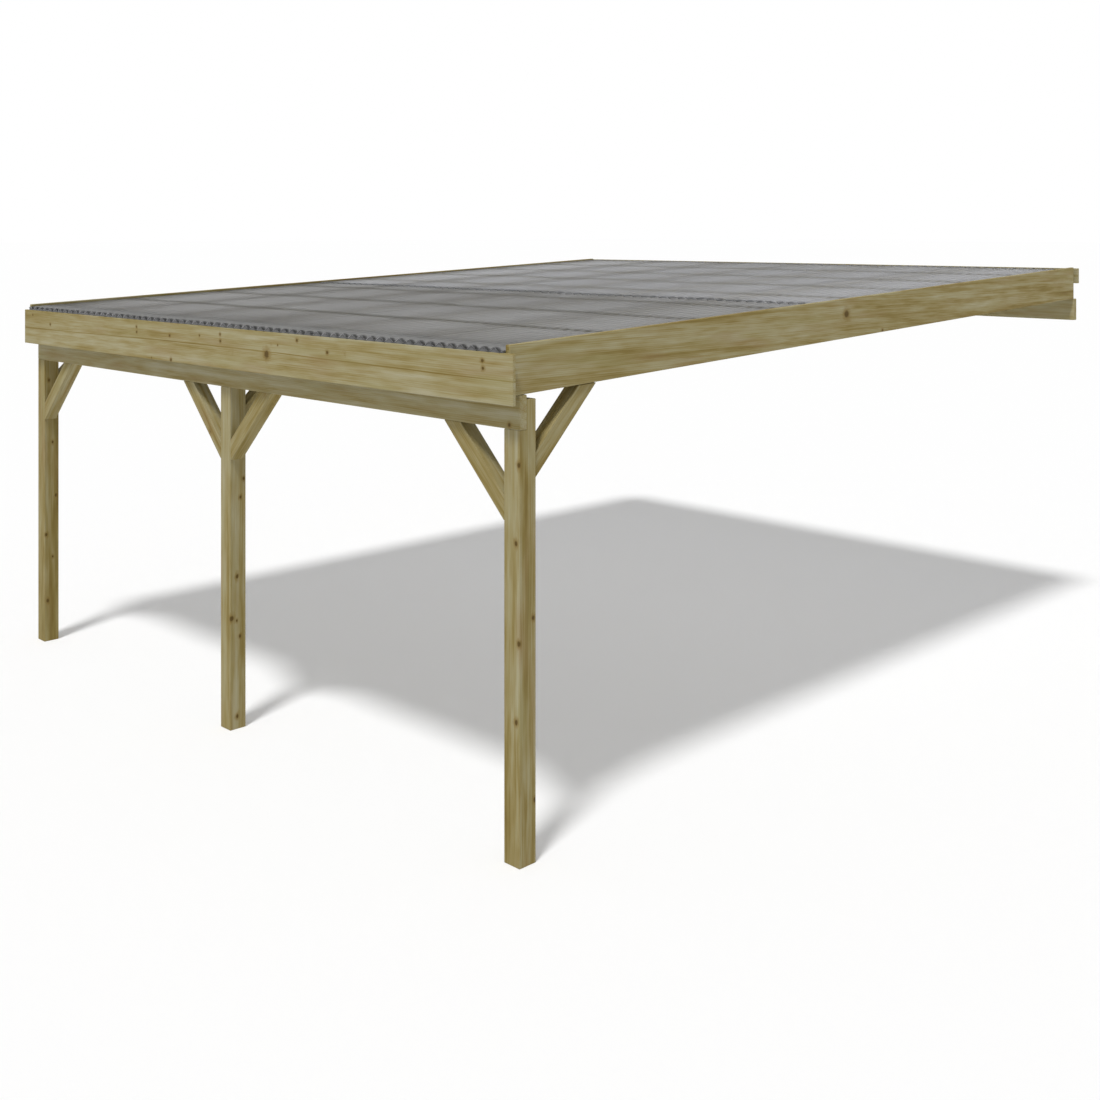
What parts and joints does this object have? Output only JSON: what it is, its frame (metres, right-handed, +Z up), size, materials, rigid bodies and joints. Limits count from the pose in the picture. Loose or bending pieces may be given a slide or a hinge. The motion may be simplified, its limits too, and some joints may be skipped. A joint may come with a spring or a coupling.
{
  "type": "lean-to carport",
  "caption": "Open lean-to carport of treated pine: square posts with knee braces, a front beam, a wall plate, rafters, fascia boards and a corrugated translucent roof.",
  "frame": {"origin": "middle of the wall plate's back face, where it is bolted to the house wall", "axes": "X along the wall, +Y from the posts into the wall, +Z up; the ground lies 2.244 m below the origin"},
  "size_m": [4.896, 5.6684, 2.549],
  "materials": {
    "frame_timber": "pressure-treated pine, planed, pale green-yellow",
    "board_timber": "pressure-treated pine board, planed, pale green-yellow",
    "roof_sheet": "translucent grey corrugated sheet",
    "filler_foam": "grey foam rubber strip"
  },
  "bodies": {
    "root": {"batten_1": "frame_timber", "batten_2": "frame_timber", "batten_3": "frame_timber", "batten_4": "frame_timber", "batten_5": "frame_timber", "batten_6": "frame_timber", "batten_7": "frame_timber", "batten_8": "frame_timber", "batten_9": "frame_timber", "eave_board": "board_timber", "eave_filler": "filler_foam", "front_beam": "frame_timber", "front_brace_left_post_right": "frame_timber", "front_brace_middle_post_left": "frame_timber", "front_brace_middle_post_right": "frame_timber", "front_brace_right_post_left": "frame_timber", "post_left": "frame_timber", "post_middle": "frame_timber", "post_right": "frame_timber", "rafter_1": "frame_timber", "rafter_2": "frame_timber", "rafter_3": "frame_timber", "rafter_4": "frame_timber", "rafter_5": "frame_timber", "rafter_6": "frame_timber", "rafter_7": "frame_timber", "rear_brace_left_post": "frame_timber", "rear_brace_middle_post": "frame_timber", "rear_brace_right_post": "frame_timber", "roof_sheet_lower_1": "roof_sheet", "roof_sheet_lower_2": "roof_sheet", "roof_sheet_lower_3": "roof_sheet", "roof_sheet_lower_4": "roof_sheet", "roof_sheet_lower_5": "roof_sheet", "roof_sheet_lower_6": "roof_sheet", "roof_sheet_lower_7": "roof_sheet", "roof_sheet_upper_1": "roof_sheet", "roof_sheet_upper_2": "roof_sheet", "roof_sheet_upper_3": "roof_sheet", "roof_sheet_upper_4": "roof_sheet", "roof_sheet_upper_5": "roof_sheet", "roof_sheet_upper_6": "roof_sheet", "roof_sheet_upper_7": "roof_sheet", "side_fascia_left": "board_timber", "side_fascia_right": "board_timber", "wall_board": "board_timber", "wall_plate": "frame_timber"}
  },
  "joints": []
}
